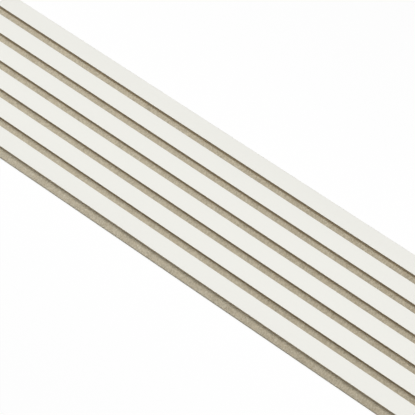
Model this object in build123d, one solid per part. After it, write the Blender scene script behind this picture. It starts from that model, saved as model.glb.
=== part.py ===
from build123d import *
import os

# Acoustic slat panel, in millimetres: white-faced fibreboard slats glued in a row to a felt backing.
# It lies face up: X runs along the slats, Y across them and Z up from the back of the felt.
# The origin is the middle of the felt's back, which is the face that goes against a wall.

# Driving dimensions
panel_length = 2400.0
slat_count = 6
slat_width = 28.0
slat_gap = 12.0
slat_thickness = 12.0
slat_arris_radius = 0.5
felt_thickness = 9.0
# Past the last slat the felt runs on bare. The next panel butts against it, so the strip becomes one more
# gap, and it is a little wider than the others, as room to fit the joint.
joint_strip = 13.0

# Worked out from them
slat_pitch = slat_width + slat_gap
felt_width = slat_count * slat_width + (slat_count - 1) * slat_gap + joint_strip


def slat_centre(place):
    """Y of a slat's middle. Place 0 is flush with the felt's +Y edge, and the rest follow towards -Y."""
    return felt_width / 2 - slat_width / 2 - place * slat_pitch


def make_felt_backing():
    """The backing: one sheet of felt, cut square, as long as the slats."""
    with BuildPart() as felt:
        with BuildSketch(Plane.XY):
            Rectangle(panel_length, felt_width)
        extrude(amount=felt_thickness)
    return felt.part


def make_slat(place):
    """One slat, run out of its section: square at the felt, with the two long edges of its face eased."""
    with BuildPart() as slat:
        with BuildSketch(Plane.YZ) as section:
            with Locations((slat_centre(place), felt_thickness)):
                Rectangle(slat_width, slat_thickness, align=(Align.CENTER, Align.MIN))
            face_corners = section.vertices().group_by(Axis.Y)[-1]
            fillet(face_corners, slat_arris_radius)
        extrude(amount=panel_length / 2, both=True)
    return slat.part


pieces = {"felt_backing": make_felt_backing()}
for place in range(slat_count):
    pieces[f"slat_{place + 1}"] = make_slat(place)

os.makedirs("parts", exist_ok=True)
for name, piece in pieces.items():
    export_step(piece, f"parts/{name}.step")
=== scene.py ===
# %% [markdown]
# # Dressing an acoustic slat panel
# The real object is a long wall panel: white-faced fibreboard slats, glued in a row to a sheet of beige
# felt. Its pieces come from a CAD model, in metres, which is a fixed frame: nothing in it is moved.
# The CAD slats already have the right shape, so they stay and only get a finish.
# The CAD felt is a plain slab, which real felt never is, so a softer piece is modelled in its place.

# %% Load the frame
import math
import bmesh
import bpy
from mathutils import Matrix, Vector


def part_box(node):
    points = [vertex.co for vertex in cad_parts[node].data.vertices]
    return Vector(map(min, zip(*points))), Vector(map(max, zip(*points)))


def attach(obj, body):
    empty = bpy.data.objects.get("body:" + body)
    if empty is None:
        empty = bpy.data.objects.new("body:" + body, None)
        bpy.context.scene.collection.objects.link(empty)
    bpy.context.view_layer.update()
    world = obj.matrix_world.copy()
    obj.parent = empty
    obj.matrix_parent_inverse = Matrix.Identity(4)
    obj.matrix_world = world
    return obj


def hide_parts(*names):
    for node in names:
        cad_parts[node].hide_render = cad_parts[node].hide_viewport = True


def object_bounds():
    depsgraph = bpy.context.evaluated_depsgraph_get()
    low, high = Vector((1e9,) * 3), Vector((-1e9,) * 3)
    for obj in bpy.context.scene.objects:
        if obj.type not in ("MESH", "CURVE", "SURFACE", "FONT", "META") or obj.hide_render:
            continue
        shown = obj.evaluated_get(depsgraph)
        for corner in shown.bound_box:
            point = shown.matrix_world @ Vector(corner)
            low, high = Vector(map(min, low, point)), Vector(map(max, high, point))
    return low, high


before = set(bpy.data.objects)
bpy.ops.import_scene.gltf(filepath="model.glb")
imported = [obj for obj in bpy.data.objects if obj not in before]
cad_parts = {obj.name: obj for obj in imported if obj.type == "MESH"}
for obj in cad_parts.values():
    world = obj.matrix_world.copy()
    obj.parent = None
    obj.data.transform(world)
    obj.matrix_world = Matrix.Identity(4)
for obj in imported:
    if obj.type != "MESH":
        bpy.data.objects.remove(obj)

cad_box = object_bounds()
panel_length, panel_width, panel_height = cad_box[1] - cad_box[0]
print(f"Panel: {panel_length:.3f} x {panel_width:.3f} x {panel_height:.3f} m")
print("Nodes:", ", ".join(sorted(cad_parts)))

# %% [markdown]
# ## Where the slats and the bare felt are
# Everything below is placed by the slats, so their boxes are read once and sorted from the flush edge on.
# Between two slats lies a gap with a floor of bare felt. Past the last slat there is one more bare strip,
# where the neighbouring panel butts on. Each strip is kept as a pair of places along Y, low and high.
# These places could be typed in as numbers, but read from the frame they stay true for a resized panel.

# %% Measure the slats and the bare strips
FELT_NODE = "felt_backing"


def middle_and_half(low, high):
    """The middle of a stretch, and half its length."""
    return (low + high) / 2, (high - low) / 2


felt_low, felt_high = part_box(FELT_NODE)
slat_names = sorted(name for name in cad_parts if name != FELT_NODE)
slat_boxes = [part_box(name) for name in slat_names]
slat_boxes.sort(key=lambda corners: -corners[0].y)
slat_low, slat_high = slat_boxes[0]
face_level = slat_high.z
slat_middle, slat_half = middle_and_half(slat_low.z, slat_high.z)
felt_middle, felt_half = middle_and_half(felt_low.z, felt_high.z)

strip_tops = [low.y for low, high in slat_boxes]
strip_bottoms = [high.y for low, high in slat_boxes[1:]] + [felt_low.y]
bare_strips = list(zip(strip_bottoms, strip_tops))

# %% [markdown]
# ## The camera
# A catalogue picture looks down on the panel, with the slats running off both sides of the frame.
# The distances between the slat edges narrow a little from front to back, and that perspective gives the
# lens. The camera could be placed by its X, Y and Z. It is set the way a photographer would say it instead,
# how far round, how high and how far off, because each of those can be changed without the others.

# %% Place the camera
SENSOR_WIDTH = 36.0
PICTURE_SIDE = 415
FOCAL_PIXELS = 1000
AZIMUTH, ELEVATION = math.radians(34.76), math.radians(72.94)
DISTANCE = 1.596
AIM_Y = -0.0012

camera_data = bpy.data.cameras.new("camera")
camera_data.sensor_width = SENSOR_WIDTH
camera_data.lens = SENSOR_WIDTH * FOCAL_PIXELS / PICTURE_SIDE
camera = bpy.data.objects.new("camera", camera_data)
bpy.context.scene.collection.objects.link(camera)
bpy.context.scene.camera = camera

aim = Vector((0, AIM_Y, face_level))
level_reach = math.cos(ELEVATION)
back = Vector((math.sin(AZIMUTH) * level_reach, -math.cos(AZIMUTH) * level_reach, math.sin(ELEVATION)))
camera.location = aim + back * DISTANCE
camera.rotation_mode = "QUATERNION"
camera.rotation_quaternion = (-back).to_track_quat("-Z", "Y")
print(f"Camera: {camera_data.lens:.1f} mm lens, {DISTANCE} m from the panel's middle")

# %% [markdown]
# ## Shader maths as plain sums
# A finish is a graph of nodes, and most of those nodes are sums. Each node could be added and linked by
# hand, in three or four lines. One small class keeps the graph readable instead: it wraps a socket, and
# adding or multiplying two of them adds the Math node that does so.
# Every other node comes from the method `node`, which makes the node's settings first and fills its sockets
# after them.

# %% A socket that can be added and multiplied
class Value:
    """An output socket in a node tree, or with no socket just the tree, ready for its first node."""

    def __init__(self, tree, socket=None):
        self.tree = tree
        self.socket = socket

    def node(self, kind, settings=None, sockets=None, output=0):
        """Adds a node of this kind, sets it up, fills or links its sockets, and gives back one output."""
        made = self.tree.nodes.new(kind)
        for name, setting in (settings or {}).items():
            setattr(made, name, setting)
        for socket, filling in (sockets or {}).items():
            links = filling if isinstance(filling, list) else [filling]
            for link in links:
                if isinstance(link, Value):
                    self.tree.links.new(link.socket, made.inputs[socket])
                else:
                    made.inputs[socket].default_value = link
        return Value(self.tree, made.outputs[output]) if made.outputs else made

    def math(self, operation, *terms):
        """The result of a Math node on these terms."""
        return self.node("ShaderNodeMath", {"operation": operation}, dict(enumerate(terms)))

    def __add__(self, other):
        return self.math("ADD", self, other)

    def __sub__(self, other):
        return self.math("SUBTRACT", self, other)

    def __mul__(self, other):
        return self.math("MULTIPLY", self, other)

    def __truediv__(self, other):
        return self.math("DIVIDE", self, other)

    def __pow__(self, other):
        return self.math("POWER", self, other)

    def __radd__(self, other):
        return self.math("ADD", other, self)

    def __rsub__(self, other):
        return self.math("SUBTRACT", other, self)

    def __rmul__(self, other):
        return self.math("MULTIPLY", other, self)

    def __abs__(self):
        return self.math("ABSOLUTE", self)

    def along(self, axis):
        """One part of a vector, along the axis "X", "Y" or "Z"."""
        return self.node("ShaderNodeSeparateXYZ", sockets={"Vector": self}, output=axis)

    def clamped(self):
        """The value, held between 0 and 1."""
        return self.node("ShaderNodeClamp", sockets={"Value": self})

    def tinted(self, dark, light):
        """A colour between two, dark where the value is 0 and light where it is 1."""
        return self.node("ShaderNodeMix", {"data_type": "RGBA"}, {0: self, 6: dark, 7: light}, output=2)


print("Value adds Math nodes for + - * / ** and abs")

# %% [markdown]
# ## The background
# The picture has a plain white ground. A bright white world would give it, but would also flood the gaps
# with light from all sides. So the world is white only to the rays that carry a picture of it. To all other
# light it is a faint glow, which keeps the darkest shade from going black.

# %% A white background with a faint glow
WHITE = (1, 1, 1, 1)
FILL_LEVEL = 0.10


def empty_tree(owner):
    """Turns on the nodes of a world or a material and clears them. Gives the tree, ready for new nodes."""
    owner.use_nodes = True
    owner.node_tree.nodes.clear()
    return Value(owner.node_tree)


def seen_directly(tree):
    """1 for rays that carry a picture, from the camera, off gloss or through glass, and 0 for others."""
    found = 0
    for ray in ("Is Camera Ray", "Is Glossy Ray", "Is Transmission Ray"):
        found = tree.math("MAXIMUM", tree.node("ShaderNodeLightPath", output=ray), found)
    return found


bpy.context.scene.view_settings.view_transform = "Standard"
world = bpy.data.worlds.new("studio")
bpy.context.scene.world = world
sky = empty_tree(world)
glow = FILL_LEVEL + (1 - FILL_LEVEL) * seen_directly(sky)
backdrop = sky.node("ShaderNodeBackground", sockets={"Color": WHITE, "Strength": glow})
sky.node("ShaderNodeOutputWorld", sockets={"Surface": backdrop})
print(f"White background with a glow of {FILL_LEVEL}")

# %% [markdown]
# ## The light
# One long softbox hangs close above the panel, along the slats. A box as long as that lights the white
# faces evenly. Across the slats it is narrow, so its light falls down into the gaps, and the felt there is
# as bright as the bare strip at the near edge. The slat sides get little of it and stay dark, and the shade
# at their feet has a soft edge. A sun lamp would be simpler, but its shade has a hard edge.
# The lamp's power follows from the level that the faces should get. Under a very long box, that level goes
# with the sine of half the angle that the box spans.

# %% A long softbox
KEY_LEVEL = 0.895
KEY_HEIGHT = 0.9
KEY_LENGTH, KEY_WIDTH = 5.0, 0.55

key_data = bpy.data.lights.new("softbox", "AREA")
key_data.shape = "RECTANGLE"
key_data.size, key_data.size_y = KEY_LENGTH, KEY_WIDTH
half_spread = math.atan2(KEY_WIDTH / 2, KEY_HEIGHT)
key_data.energy = math.pi * KEY_LENGTH * KEY_WIDTH * KEY_LEVEL / math.sin(half_spread)
key = bpy.data.objects.new("softbox", key_data)
key.location = (0, 0, face_level + KEY_HEIGHT)
key.visible_camera = False
bpy.context.scene.collection.objects.link(key)
print(f"Softbox of {key_data.energy:.0f} W for a level of {KEY_LEVEL}")

# %% [markdown]
# ## The sheet under the panel
# The panel lies on white paper, which throws light back at the cut edges of the felt. In the picture the
# paper should be as white as the background, and yet show a faint shadow. More light on it could do that,
# but would bleach the slats as well. So the paper, where it is seen, glows by itself and takes only a small
# share of light and shade. To all other light it is plain white paper.
# It lies a hair under the felt, because two surfaces in the very same place would show through each other.

# %% A white sheet to lie on
FLOOR_SIDE = 60.0
FLOOR_DROP = 0.00005
SHEET_WHITE = 0.9
SHEET_SHADOW = 0.07

bpy.ops.object.select_all(action="DESELECT")
bpy.ops.mesh.primitive_plane_add(size=FLOOR_SIDE, location=(0, 0, cad_box[0].z - FLOOR_DROP))
floor = bpy.context.active_object
floor.name = "white_sheet"
floor_finish = bpy.data.materials.new("white_sheet")
sheet = empty_tree(floor_finish)
seen = seen_directly(sheet)
paper = SHEET_WHITE + (SHEET_SHADOW - SHEET_WHITE) * seen
lit = sheet.node("ShaderNodeBsdfDiffuse", sockets={"Color": paper})
plain = sheet.node("ShaderNodeEmission", sockets={"Strength": seen * (1 - SHEET_SHADOW)})
both = sheet.node("ShaderNodeAddShader", sockets={0: lit, 1: plain})
sheet.node("ShaderNodeOutputMaterial", sockets={"Surface": both})
floor.data.materials.append(floor_finish)

# %% [markdown]
# ## Helpers for the finishes
# A finish starts as an empty tree. Its patterns read Object coordinates, which are metres on the panel,
# so a pattern's scale is simply one over the size of the thing it draws.
# Grain that runs one way is a noise that is stretched: small across the fibre and long along it. Its detail
# is the number of layers that it is built up from, each finer than the last.
# A finish mixes several patterns, each with its own share in the tone, the roughness or the relief.
# Patterns and shares are kept by name, so that a mix reads like a recipe.

# %% Start, pattern and close a finish
COARSE, PLAIN, FINE = 1, 2, 3
NOISE_ROUGHNESS = 0.55


def new_finish(name):
    """An empty material. Gives the material, its tree and the place on the panel, in metres."""
    finish = bpy.data.materials.new(name)
    tree = empty_tree(finish)
    return finish, tree, tree.node("ShaderNodeTexCoord", output="Object")


def grain(place, size, turn=0.0, detail=PLAIN, curl=0.0):
    """Noise about 0, with blotches of this size in metres along X, Y and Z, turned about Z and curled."""
    turned = place.node("ShaderNodeMapping", sockets={"Vector": place, "Rotation": (0, 0, turn)})
    scale = tuple(1 / side for side in size)
    drawn = place.node("ShaderNodeMapping", sockets={"Vector": turned, "Scale": scale})
    noise = place.node("ShaderNodeTexNoise", {"noise_dimensions": "3D"}, {
        "Vector": drawn, "Scale": 1.0, "Detail": detail, "Roughness": NOISE_ROUGHNESS, "Distortion": curl})
    return noise * 2 - 1


def even(size):
    """The size of a blotch that is as long as it is wide and high."""
    return (size, size, size)


def mixed(patterns, shares, middle=0.0):
    """Adds named patterns to a middle value, each times its share."""
    return sum((patterns[name] * share for name, share in shares.items()), middle)


def close_finish(tree, colour, roughness, height, depth, constants):
    """Ends a finish: one Principled shader, with a bump that is depth metres high where height is 1."""
    normal = tree.node("ShaderNodeBump", sockets={"Height": height, "Distance": depth, "Strength": 1.0})
    shader = tree.node("ShaderNodeBsdfPrincipled", sockets={
        "Base Color": colour, "Roughness": roughness, "Normal": normal, **constants})
    tree.node("ShaderNodeOutputMaterial", sockets={"Surface": shader})


print("Helpers ready: new_finish, grain, even, mixed, close_finish")

# %% [markdown]
# ## The slats: white decor over bare fibreboard
# A slat is sawn from a board that was laminated white beforehand. So its face is a thin white skin, and its
# sides and ends are bare fibreboard, straight from the saw. Two materials could share the slat face by
# face, but then the skin would have no thickness at the ends and on the eased edge. One finish covers the
# whole slat instead, and height decides which of the two shows: white from just under the face upward, and
# brown below.
# Fibreboard is pressed dust and fibre. It is denser and darker near its faces than in its core, it is
# flecked with single fibres, and the saw leaves fine upright ripples along its sides.

# %% Bare fibreboard
BOARD_DARK, BOARD_LIGHT = (0.345, 0.28, 0.187, 1), (0.69, 0.60, 0.437, 1)
BOARD_TONE = 0.55
BOARD_SHADES = {"fleck": 0.45, "clump": 0.25, "saw": 0.2, "skin": -0.22}
BOARD_HEIGHTS = {"fleck": 0.6, "saw": 0.4}
FLECK_SIZE, CLUMP_SIZE, SAW_SIZE = even(0.0004), even(0.0025), (0.0007, 0.02, 0.03)
SKIN_STEEPNESS = 4


def fibreboard(place):
    """Colour and relief of sawn fibreboard."""
    from_core = abs(place.along("Z") - slat_middle) / slat_half
    patterns = {
        "fleck": grain(place, FLECK_SIZE, detail=FINE),
        "clump": grain(place, CLUMP_SIZE),
        "saw": grain(place, SAW_SIZE),
        "skin": from_core ** SKIN_STEEPNESS,
    }
    tone = mixed(patterns, BOARD_SHADES, BOARD_TONE)
    return tone.tinted(BOARD_DARK, BOARD_LIGHT), mixed(patterns, BOARD_HEIGHTS)


# %% [markdown]
# The white skin is a printed foil, pressed onto the board. One flat colour would pass for it from afar, but
# no foil is perfectly even: close by it has a fine pearl, and along the board its tone and its shine drift a
# little. So it is drawn by three patterns, from half a millimetre to a quarter of a metre in size.

# %% White decor
DECOR_DARK, DECOR_LIGHT = (0.82, 0.815, 0.765, 1), (0.88, 0.875, 0.825, 1)
DECOR_TONE, DECOR_ROUGHNESS = 0.5, 0.58
DECOR_SHADES = {"drift": 0.30, "speckle": 0.18, "pearl": 0.1}
DECOR_MATTING = {"pearl": 0.06, "drift": 0.08}
PEARL_SIZE, SPECKLE_SIZE, DRIFT_SIZE = even(0.0006), even(0.0016), (0.25, 0.03, 0.03)


def white_decor(place):
    """Colour, roughness and relief of the white skin."""
    patterns = {
        "pearl": grain(place, PEARL_SIZE),
        "speckle": grain(place, SPECKLE_SIZE),
        "drift": grain(place, DRIFT_SIZE, detail=FINE),
    }
    tone = mixed(patterns, DECOR_SHADES, DECOR_TONE)
    roughness = mixed(patterns, DECOR_MATTING, DECOR_ROUGHNESS)
    return tone.tinted(DECOR_DARK, DECOR_LIGHT), roughness, patterns["pearl"]


print(f"White decor from {DECOR_DARK[:3]} to {DECOR_LIGHT[:3]}")

# %% [markdown]
# The two meet a hair under the face, along a line that the saw left a little ragged. A mask does it: it is
# 1 above that line and 0 below, and each of colour, roughness and relief is blended by it.

# %% One finish for the whole slat
DECOR_THICKNESS, DECOR_BLUR = 0.00014, 0.00005
RAGGED_SIZE = even(0.0012)
BOARD_ROUGHNESS, BOARD_RELIEF = 0.88, 5.0
SLAT_BUMP = 0.000012
SLAT_CONSTANTS = {"Specular IOR Level": 0.4}

slat_finish, tree, place = new_finish("slat_white_decor_on_fibreboard")
ragged = grain(place, RAGGED_SIZE) * DECOR_BLUR
over_line = place.along("Z") - (face_level - DECOR_THICKNESS) + ragged
white = (over_line / DECOR_BLUR + 0.5).clamped()
board_colour, board_relief = fibreboard(place)
decor_colour, decor_roughness, decor_relief = white_decor(place)
slat_colour = white.tinted(board_colour, decor_colour)
slat_roughness = BOARD_ROUGHNESS + (decor_roughness - BOARD_ROUGHNESS) * white
slat_relief = board_relief * BOARD_RELIEF * (1 - white) + decor_relief * white
close_finish(tree, slat_colour, slat_roughness, slat_relief, SLAT_BUMP, SLAT_CONSTANTS)

for name in slat_names:
    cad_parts[name].material_slots[0].material = slat_finish
print(f"Finished {len(slat_names)} slats with {len(slat_finish.node_tree.nodes)} nodes")

# %% [markdown]
# ## The felt's finish
# Needled felt is a mat of polyester fibres in several shades of beige. The web is laid in folds across the
# sheet before it is needled, so most fibres lie across the panel and the rest at a slant. From close by the
# shades read as fine hairs, and from further off as soft mottling. The needles leave small pits all over.
# Every hair could be modelled, but a mat holds millions, so all that lie flat are drawn by the finish.
# A hair is a thin line, and any noise holds such lines: the places where it passes through its middle.
# The colour also holds painted light: a slow painted light falloff, a wave along X with a length of 1.7 m,
# and painted light on the cut edges, which are painted paler than the face, though the lamp hardly reaches
# them.

# %% Patterns of the felt
ACROSS_SIZE, SLANTED_SIZE = (0.0005, 0.006, 0.0005), (0.0005, 0.005, 0.0005)
SLANTED_TURN = math.radians(55)
TUFT_SIZE, CLOUD_SIZE = (0.0022, 0.004, 0.0022), even(0.014)
NEEDLE_SPACING, NEEDLE_SCATTER, PIT_STEEPNESS = 0.0016, 0.8, 3
HAIR_SIZE, HAIR_CURL, HAIR_THINNESS = (0.0008, 0.005, 0.0008), 1.5, 10
PALE_HAIR_TURN, DARK_HAIR_TURN = math.radians(-20), math.radians(35)
# The wave length of the painted light falloff along the panel.
LIGHT_FALLOFF_WAVE = 1.7
# How deep under the faces the painted light on the cut edges fades in.
EDGE_LIGHT_DEPTH = 0.0003


def needle_pits(place):
    """1 in the middle of each pit that a needle left, falling to 0 round it."""
    distance = place.node("ShaderNodeTexVoronoi", {"feature": "F1"}, {
        "Vector": place, "Scale": 1 / NEEDLE_SPACING, "Randomness": NEEDLE_SCATTER}, output="Distance")
    return (1 - distance * PIT_STEEPNESS).clamped()


def hairs(place, turn):
    """1 along thin wavy lines and 0 between them, where a stretched noise passes through its middle."""
    strands = grain(place, HAIR_SIZE, turn=turn, detail=COARSE, curl=HAIR_CURL)
    return (1 - abs(strands) * HAIR_THINNESS).clamped()


def felt_patterns(place):
    """All that is seen on the felt, by name."""
    depth = felt_half - abs(place.along("Z") - felt_middle)
    return {
        "across": grain(place, ACROSS_SIZE, detail=FINE),
        "slanted": grain(place, SLANTED_SIZE, turn=SLANTED_TURN, detail=FINE),
        "tuft": grain(place, TUFT_SIZE),
        "cloud": grain(place, CLOUD_SIZE, detail=FINE),
        # The pits lower the relief, and they also darken the tone: painted shade in the hollows.
        "pit_and_shade": needle_pits(place),
        "pale_hair": hairs(place, PALE_HAIR_TURN),
        "dark_hair": hairs(place, DARK_HAIR_TURN),
        # Painted light: a slow falloff of light along the panel, drawn as a wave along X.
        "painted_light_falloff": place.math("SINE", place.along("X") * (2 * math.pi / LIGHT_FALLOFF_WAVE)),
        # Painted light: the cut edges, clear of the faces, are painted paler.
        "painted_edge_light": (depth / EDGE_LIGHT_DEPTH - 1).clamped(),
    }


# %% [markdown]
# Mixed together, the patterns make the felt. The same tufts and hairs change its tone and raise its surface.
# A relief of its own would be freer, but then a tuft's light side and its colour wouldn't agree.
# Here and there a warmer beige shows, where the blend of fibres isn't quite even.

# %% Needled felt
FELT_DARK, FELT_LIGHT = (0.28, 0.24, 0.167, 1), (0.63, 0.583, 0.463, 1)
FELT_TONE, FELT_ROUGHNESS = 0.53, 0.93
# In the tone, the slow wave along X and the paler cut edges are painted light, and the darker pits are
# painted shade.
FELT_SHADES = {
    "across": 0.30, "slanted": 0.22, "tuft": 0.62, "cloud": 0.30, "pit_and_shade": -0.18,
    "pale_hair": 0.35, "dark_hair": -0.35, "painted_light_falloff": -0.12, "painted_edge_light": 0.40}
FELT_MATTING = {"tuft": 0.05}
FELT_HEIGHTS = {
    "across": 0.3, "slanted": 0.25, "tuft": 0.4, "pit_and_shade": -0.6, "pale_hair": 0.12, "dark_hair": 0.12}
FELT_BUMP = 0.00030
FELT_WARM, WARM_SIZE = (0.49, 0.42, 0.305, 1), even(0.006)
WARM_SHARE, WARM_SPREAD = 0.2, 0.7
FELT_CONSTANTS = {"Specular IOR Level": 0.15, "Sheen Weight": 0.08, "Sheen Roughness": 0.6}

felt_finish, tree, place = new_finish("needled_beige_felt")
patterns = felt_patterns(place)
felt_tone = mixed(patterns, FELT_SHADES, FELT_TONE)
warm = (WARM_SHARE + grain(place, WARM_SIZE) * WARM_SPREAD).clamped()
felt_colour = warm.tinted(felt_tone.tinted(FELT_DARK, FELT_LIGHT), FELT_WARM)
felt_roughness = mixed(patterns, FELT_MATTING, FELT_ROUGHNESS)
felt_relief = mixed(patterns, FELT_HEIGHTS)
close_finish(tree, felt_colour, felt_roughness, felt_relief, FELT_BUMP, FELT_CONSTANTS)
print(f"Felt finish with {len(felt_finish.node_tree.nodes)} nodes")

# %% [markdown]
# ## The felt sheet
# The felt is cut from a roll with a straight blade, so it is a slab, yet a soft one. Its cut edges are a
# little rounded and waver, its surface has low hills and hollows, and between the slats, which press it
# down where they are glued, it swells up by a hair. A cloth simulation could shape a thin fabric, but glued
# felt as thick as this hardly gives. So it is made from a cube at the CAD felt's size: its edges are
# bevelled, it is sliced lengthwise along every slat edge, then cut crosswise so that it can waver.

# %% A slab with soft edges
EDGE_ROUND, EDGE_STEPS = 0.0004, 2

bpy.ops.object.select_all(action="DESELECT")
bpy.ops.mesh.primitive_cube_add(size=1, location=(felt_low + felt_high) / 2, scale=felt_high - felt_low)
felt_sheet = bpy.context.active_object
felt_sheet.name = "felt_sheet"
bpy.ops.object.transform_apply(location=True, rotation=True, scale=True)
bpy.ops.object.mode_set(mode="EDIT")
bpy.ops.mesh.select_all(action="SELECT")
bpy.ops.mesh.bevel(offset=EDGE_ROUND, segments=EDGE_STEPS, affect="EDGES")
bpy.ops.object.mode_set(mode="OBJECT")
print(f"Slab with {len(felt_sheet.data.polygons)} faces")

# %% [markdown]
# Bisect cuts a mesh along a plane and leaves both sides joined. By hand it would be a loop cut, but that
# needs a window, which a script doesn't have. Each bare strip gets rows of its own, so that it can swell
# while the felt under the slats stays flat, and the upright edges get a few rows so that they can waver.

# %% Slice it lengthwise
ROWS_ACROSS_STRIP = 4
ROWS_UP_EDGE = 3


def work_on(obj):
    """Selects this object alone, because an operator acts on all that is selected."""
    bpy.ops.object.select_all(action="DESELECT")
    obj.select_set(True)
    bpy.context.view_layer.objects.active = obj


def slice_through(place, direction):
    """In edit mode, cuts right round the object along a plane, without parting it."""
    bpy.ops.mesh.select_all(action="SELECT")
    bpy.ops.mesh.bisect(plane_co=place, plane_no=direction)


work_on(felt_sheet)
bpy.ops.object.mode_set(mode="EDIT")
for low, high in bare_strips:
    for row in range(ROWS_ACROSS_STRIP + 1):
        y = low + (high - low) * row / ROWS_ACROSS_STRIP
        if y > felt_low.y + EDGE_ROUND:
            slice_through((0, y, 0), (0, 1, 0))
for row in range(1, ROWS_UP_EDGE):
    slice_through((0, 0, felt_low.z + (felt_high.z - felt_low.z) * row / ROWS_UP_EDGE), (0, 0, 1))
bpy.ops.object.mode_set(mode="OBJECT")
print(f"Sliced into {len(felt_sheet.data.polygons)} faces")

# %% [markdown]
# Crosswise, hundreds of cuts are needed, all at the same distance. Slicing would work there too, but
# Subdivide is quicker: the long edges are selected and divided. It makes at most 100 cuts at a time, so it
# runs twice, first for long pieces and then for short ones.

# %% Cut it crosswise into short lengths
LONG_CUTS, SHORT_CUTS = 23, 24


def select_edges(obj, wanted):
    """In edit mode, selects just the edges for which wanted(edge) holds."""
    bpy.ops.mesh.select_mode(type="EDGE")
    bpy.ops.mesh.select_all(action="DESELECT")
    mesh = bmesh.from_edit_mesh(obj.data)
    for edge in mesh.edges:
        edge.select_set(wanted(edge))
    bmesh.update_edit_mesh(obj.data)


bpy.ops.object.mode_set(mode="EDIT")
piece_length = panel_length
for cuts in (LONG_CUTS, SHORT_CUTS):
    select_edges(felt_sheet, lambda edge: edge.calc_length() > piece_length / 2)
    bpy.ops.mesh.subdivide(number_cuts=cuts)
    piece_length /= cuts + 1
bpy.ops.object.mode_set(mode="OBJECT")

# %% [markdown]
# Now the sheet can be shaped, but not all over: where a slat or the floor touches the felt, nothing may
# poke through. A vertex group marks the surface that is free to move. A second one says where the felt sheds
# fibres, which is needed later: most of all along the upper half of its cut edges.

# %% Mark the bare and the fuzzy surface
TOUCH = 0.00001
STRIP_FUZZ = 0.5


def in_bare_strip(point):
    """Whether a point of the felt's top lies inside a bare strip."""
    on_top = point.z > felt_high.z - TOUCH
    return on_top and any(low + TOUCH < point.y < high - TOUCH for low, high in bare_strips)


def on_cut_edge(point, low, high):
    """Whether a point is on an upright cut edge, between two levels."""
    return low + TOUCH < point.z < high - TOUCH


def bareness(point):
    """1 where the surface is free to move: on the strips, and on the cut edges between round corners."""
    on_edge = on_cut_edge(point, felt_low.z + EDGE_ROUND, felt_high.z - EDGE_ROUND)
    return float(in_bare_strip(point) or on_edge)


def fuzziness(point):
    """1 on the upper half of the cut edges, where the blade left loose ends, and less on the strips."""
    return STRIP_FUZZ if in_bare_strip(point) else float(on_cut_edge(point, felt_middle, felt_high.z))


def mark(obj, name, weight_at):
    """Makes a vertex group in which each point has the weight that weight_at(point) gives."""
    group = obj.vertex_groups.new(name=name)
    for vertex in obj.data.vertices:
        group.add([vertex.index], weight_at(vertex.co), "REPLACE")
    return name


bare = mark(felt_sheet, "bare", bareness)
fuzzy = mark(felt_sheet, "fuzzy", fuzziness)
print(f"Marked {len(felt_sheet.data.vertices)} points as {bare} and {fuzzy}")

# %% [markdown]
# Two Displace modifiers do the shaping. The first swells the bare surface by a fraction of a millimetre.
# The second has a cloud texture, and makes the hills and hollows and lets the cut edges waver. Sculpting by
# hand would do it too, but a modifier does it the same way every time. A Weighted Normal modifier then keeps
# the shading of the flat parts flat, right up to the round edges.

# %% Swell the strips and let the surface waver
SWELL = 0.00025
WAVER, WAVER_SIZE = 0.0007, 0.007
SMOOTH_ANGLE = math.radians(50)

work_on(felt_sheet)
lumps = bpy.data.textures.new("felt_lumps", "CLOUDS")
lumps.noise_scale = WAVER_SIZE
swell = felt_sheet.modifiers.new("swell", "DISPLACE")
swell.vertex_group = bare
swell.mid_level = 0.0
swell.strength = SWELL
waver = felt_sheet.modifiers.new("waver", "DISPLACE")
waver.texture = lumps
waver.texture_coords = "LOCAL"
waver.vertex_group = bare
waver.strength = WAVER
bpy.ops.object.shade_smooth_by_angle(angle=SMOOTH_ANGLE)
flatten = felt_sheet.modifiers.new("flatten", "WEIGHTED_NORMAL")
for modifier in (swell, waver, flatten):
    bpy.ops.object.modifier_apply(modifier=modifier.name)
felt_sheet.data.materials.append(felt_finish)
print(f"Felt sheet of {len(felt_sheet.data.polygons)} faces")

# %% [markdown]
# ## Loose fibres
# Felt sheds: single fibres stand off it in small arcs, most of all along the cut edges. Blender's hair
# could draw them, but hair is no mesh and wouldn't leave Blender with the panel. So one fibre is modelled as
# a three-sided rod. A tiny triangle is spun round an axis into an arc, and both ends are drawn to a point.
# Three such fibres with different bends are enough, because each copy is turned and scaled by chance.

# %% Model three fibres
FIBRE_SIDES, FIBRE_STEPS = 3, 4
FIBRE_RADIUS = 0.00003
FIBRE_BENDS = ((0.0014, 95), (0.0009, 150), (0.0022, 60))


def close_ring(obj, end):
    """In edit mode, draws the points round one end of a fibre together into one."""
    bpy.ops.mesh.select_mode(type="VERT")
    bpy.ops.mesh.select_all(action="DESELECT")
    mesh = bmesh.from_edit_mesh(obj.data)
    for vertex in mesh.verts:
        vertex.select_set((vertex.co - end).length < 2 * FIBRE_RADIUS)
    bmesh.update_edit_mesh(obj.data)
    bpy.ops.mesh.merge(type="CENTER")


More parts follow.
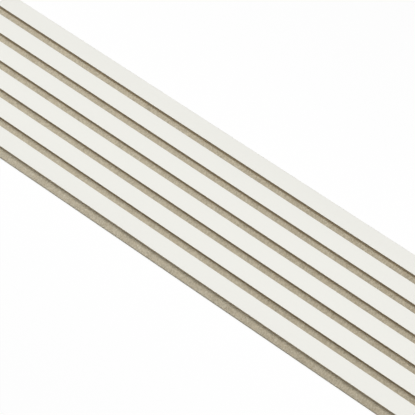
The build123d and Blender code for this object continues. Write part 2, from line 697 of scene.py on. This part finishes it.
def make_fibre(name, bend, degrees):
    """A fibre that leaves the surface straight up and bows over towards +X, on an arc of radius bend."""
    bpy.ops.object.select_all(action="DESELECT")
    bpy.ops.mesh.primitive_circle_add(vertices=FIBRE_SIDES, radius=FIBRE_RADIUS, fill_type="NOTHING")
    fibre = bpy.context.active_object
    fibre.name = name
    turn = math.radians(degrees)
    root = Vector((0, 0, 0))
    centre = Vector((bend, 0, 0))
    tip = centre + Vector((-math.cos(turn), 0, math.sin(turn))) * bend
    bpy.ops.object.mode_set(mode="EDIT")
    bpy.ops.mesh.select_all(action="SELECT")
    # Spin turns left-handed about its axis, so an axis along -Y bends the fibre from +Z towards +X.
    bpy.ops.mesh.spin(steps=FIBRE_STEPS, angle=turn, center=centre, axis=(0, -1, 0))
    for end in (tip, root):
        close_ring(fibre, end)
    bpy.ops.mesh.select_all(action="SELECT")
    bpy.ops.mesh.normals_make_consistent(inside=False)
    bpy.ops.object.mode_set(mode="OBJECT")
    return fibre


fibres = [make_fibre(f"fibre_{number}", *bend) for number, bend in enumerate(FIBRE_BENDS)]

# %% [markdown]
# Thousands of copies are scattered over the bare felt. A loop could place them, but Geometry Nodes does it
# in a moment. The points follow the vertex group, each copy leans and turns by chance from a fixed seed, and
# Realize Instances makes one plain mesh of them.

# %% Plan how the fibres are scattered
FIBRES_PER_SQUARE_METRE = 110000
FIBRE_LEAN = 0.7
FIBRE_SMALLEST, FIBRE_LARGEST = 0.4, 1.0
SPREAD_SEED, LEAN_SEED, SIZE_SEED = 7, 8, 9
RANDOM_SOCKETS = {"FLOAT_VECTOR": (0, 0), "FLOAT": (2, 1)}


def chance(tree, kind, low, high, seed):
    """A random value between low and high. Each kind of value has sockets of its own on the node."""
    first, output = RANDOM_SOCKETS[kind]
    return tree.node("FunctionNodeRandomValue", {"data_type": kind},
                     {first: low, first + 1: high, "Seed": seed}, output=output)


def scatter_tree(fibres):
    """A Geometry Nodes tree that turns a mesh into the fibres standing on it."""
    group = bpy.data.node_groups.new("loose_fibres", "GeometryNodeTree")
    group.interface.new_socket("Geometry", in_out="INPUT", socket_type="NodeSocketGeometry")
    group.interface.new_socket("Geometry", in_out="OUTPUT", socket_type="NodeSocketGeometry")
    tree = Value(group)
    weight = tree.node("GeometryNodeInputNamedAttribute", {"data_type": "FLOAT"}, {"Name": fuzzy})
    density = weight * FIBRES_PER_SQUARE_METRE
    points = tree.node("GeometryNodeDistributePointsOnFaces", {"distribute_method": "RANDOM"}, {
        "Mesh": tree.node("NodeGroupInput"), "Density": density, "Seed": SPREAD_SEED})
    upright = Value(group, points.socket.node.outputs["Rotation"])
    most = Vector((FIBRE_LEAN, FIBRE_LEAN, math.pi))
    lean = chance(tree, "FLOAT_VECTOR", -most, most, LEAN_SEED)
    turn = tree.node("FunctionNodeEulerToRotation", sockets={"Euler": lean})
    leaning = tree.node("FunctionNodeRotateRotation", {"rotation_space": "LOCAL"},
                        {"Rotation": upright, "Rotate By": turn})
    size = chance(tree, "FLOAT", FIBRE_SMALLEST, FIBRE_LARGEST, SIZE_SEED)
    kinds = [tree.node("GeometryNodeObjectInfo", sockets={"Object": fibre, "As Instance": True},
                       output="Geometry") for fibre in fibres]
    choice = tree.node("GeometryNodeJoinGeometry", sockets={"Geometry": kinds})
    copies = tree.node("GeometryNodeInstanceOnPoints", sockets={
        "Points": points, "Instance": choice, "Pick Instance": True, "Rotation": leaning, "Scale": size})
    real = tree.node("GeometryNodeRealizeInstances", sockets={"Geometry": copies})
    tree.node("NodeGroupOutput", sockets={"Geometry": real})
    return group


scattering = scatter_tree(fibres)
print(f"Scattering with {len(scattering.nodes)} nodes")

# %% [markdown]
# The felt sheet is copied, and the modifier turns the copy into the fibres that stand on it. The sheet could
# carry the fibres itself, but as a piece of their own they can have a finish of their own.

# %% Scatter the fibres
work_on(felt_sheet)
bpy.ops.object.duplicate(linked=False)
felt_fuzz = bpy.context.active_object
felt_fuzz.name = "felt_loose_fibres"
scatter = felt_fuzz.modifiers.new("scatter", "NODES")
scatter.node_group = scattering
bpy.ops.object.modifier_apply(modifier=scatter.name)
for fibre in fibres:
    bpy.data.objects.remove(fibre)
felt_fuzz.data.materials.clear()
print(f"Loose fibres: {len(felt_fuzz.data.polygons)} faces")

# %% [markdown]
# A single fibre is one shade from end to end, and its neighbour may be another. A colour for each fibre
# would need an attribute. It is enough here that the colour changes over a few millimetres, from brown to
# cream. The fibres shine a little more than the mat does.

# %% Finish the fibres
FIBRE_DARK, FIBRE_LIGHT = (0.34, 0.28, 0.19, 1), (0.72, 0.66, 0.53, 1)
FIBRE_TONE, FIBRE_ROUGHNESS = 0.55, 0.7
FIBRE_SHADES = {"shade": 0.8, "streak": 0.1}
FIBRE_MATTING = {"streak": 0.1}
SHADE_SIZE, STREAK_SIZE = even(0.004), even(0.0006)
FIBRE_BUMP = 0.000005
FIBRE_CONSTANTS = {"Specular IOR Level": 0.3, "Sheen Weight": 0.1}

fibre_finish, tree, place = new_finish("loose_polyester_fibre")
patterns = {"shade": grain(place, SHADE_SIZE), "streak": grain(place, STREAK_SIZE)}
fibre_colour = mixed(patterns, FIBRE_SHADES, FIBRE_TONE).tinted(FIBRE_DARK, FIBRE_LIGHT)
fibre_roughness = mixed(patterns, FIBRE_MATTING, FIBRE_ROUGHNESS)
close_finish(tree, fibre_colour, fibre_roughness, patterns["streak"], FIBRE_BUMP, FIBRE_CONSTANTS)
felt_fuzz.data.materials.append(fibre_finish)
print(f"Fibre finish with {len(fibre_finish.node_tree.nodes)} nodes")

# %% [markdown]
# ## The felt's map
# A finish can be baked into a square picture, through a map that gives each face its place there. Blender
# can unwrap a mesh by itself, but a sheet ten times as long as it is wide would waste most of the square. So
# the map cuts it up: the bare strips and the long cut edges lie in a few rows, one above the other, at full
# size. The back is drawn smaller, and the felt under the slats, which nobody sees, is squeezed flat.

# %% A part of the felt, laid flat
MAP_ROWS = 4
row_length = panel_length / MAP_ROWS


class FlatPart:
    """A part of the felt's surface as the map draws it: between two corners, along one axis and across."""

    def __init__(self, low, high, axes, scale=(1, 1)):
        self.low = low
        self.axes = axes
        self.scale = scale
        self.length, self.width = self.flat(high)
        self.rows = max(1, round(self.length / row_length))

    def flat(self, point):
        """How far along and across the part a point lies, on the map."""
        return [(point[axis] - self.low[axis]) * scale for axis, scale in zip(self.axes, self.scale)]


print(f"Rows of {row_length:.2f} m")

# %% [markdown]
# A part gets as many rows as its length needs. The rows are stacked with a margin between them, so that no
# colour bleeds from one into the next.

# %% Plan the rows of the map
MAP_MARGIN = 0.0025
HIDDEN_SQUEEZE = 0.02
X, Y, Z = range(3)

felt_parts = {}
for number, (low, high) in enumerate(bare_strips):
    felt_parts["strip", number] = FlatPart((felt_low.x, low), (felt_high.x, high), (X, Y))
for side in ("low", "high"):
    felt_parts["edge", side] = FlatPart(felt_low, felt_high, (X, Z))
    felt_parts["end", side] = FlatPart(felt_low, felt_high, (Y, Z))
felt_parts["back"] = FlatPart(felt_low, felt_high, (X, Y), (1 / MAP_ROWS, 1 / MAP_ROWS))
felt_parts["hidden"] = FlatPart(felt_low, felt_high, (X, Y), (1 / MAP_ROWS, HIDDEN_SQUEEZE))

map_side = row_length + 2 * MAP_MARGIN
row_levels = {}
level = MAP_MARGIN
for name, part in felt_parts.items():
    for row in range(part.rows):
        row_levels[name, row] = level
        level += part.width + MAP_MARGIN
print(f"{len(row_levels)} rows fill {level / map_side:.0%} of the map")

# %% [markdown]
# Each face belongs to a part by the way that it faces, and its corners go to their places in one of that
# part's rows. A face at the end of a row goes where its middle lies, and the margin takes what sticks out.
# The sheet's first map is taken for this, under a name of its own. The export makes a map by itself unless
# it finds one with the name that is used here.

# %% Lay the felt's faces on the map
MAP_NAME = "OFBake"


def part_of(face):
    """The part that a face belongs to, by the way that it faces and by where it lies."""
    axis = max((X, Y, Z), key=lambda axis: abs(face.normal[axis]))
    side = "high" if face.normal[axis] > 0 else "low"
    if axis == X:
        return "end", side
    if axis == Y:
        return "edge", side
    if side == "low":
        return "back"
    for number, (low, high) in enumerate(bare_strips):
        if low < face.center.y < high:
            return "strip", number
    return "hidden"


felt_mesh = felt_sheet.data
felt_map = felt_mesh.uv_layers[0]
felt_map.name = MAP_NAME
for face in felt_mesh.polygons:
    name = part_of(face)
    part = felt_parts[name]
    row = min(int(part.flat(face.center)[0] / row_length), part.rows - 1)
    for corner in face.loop_indices:
        along, across = part.flat(felt_mesh.vertices[felt_mesh.loops[corner].vertex_index].co)
        u = MAP_MARGIN + along - row * row_length
        v = row_levels[name, row] + across
        felt_map.uv[corner].vector = u / map_side, v / map_side
print(f"Laid out {len(felt_mesh.polygons)} faces")

# %% [markdown]
# ## Tie the pieces to the frame
# Nothing moves on this panel, so every piece rides on the frame's one body. The felt sheet stands for the
# CAD felt, which is hidden.

# %% Ride and replace
for piece in (felt_sheet, felt_fuzz):
    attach(piece, "root")
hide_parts(FELT_NODE)
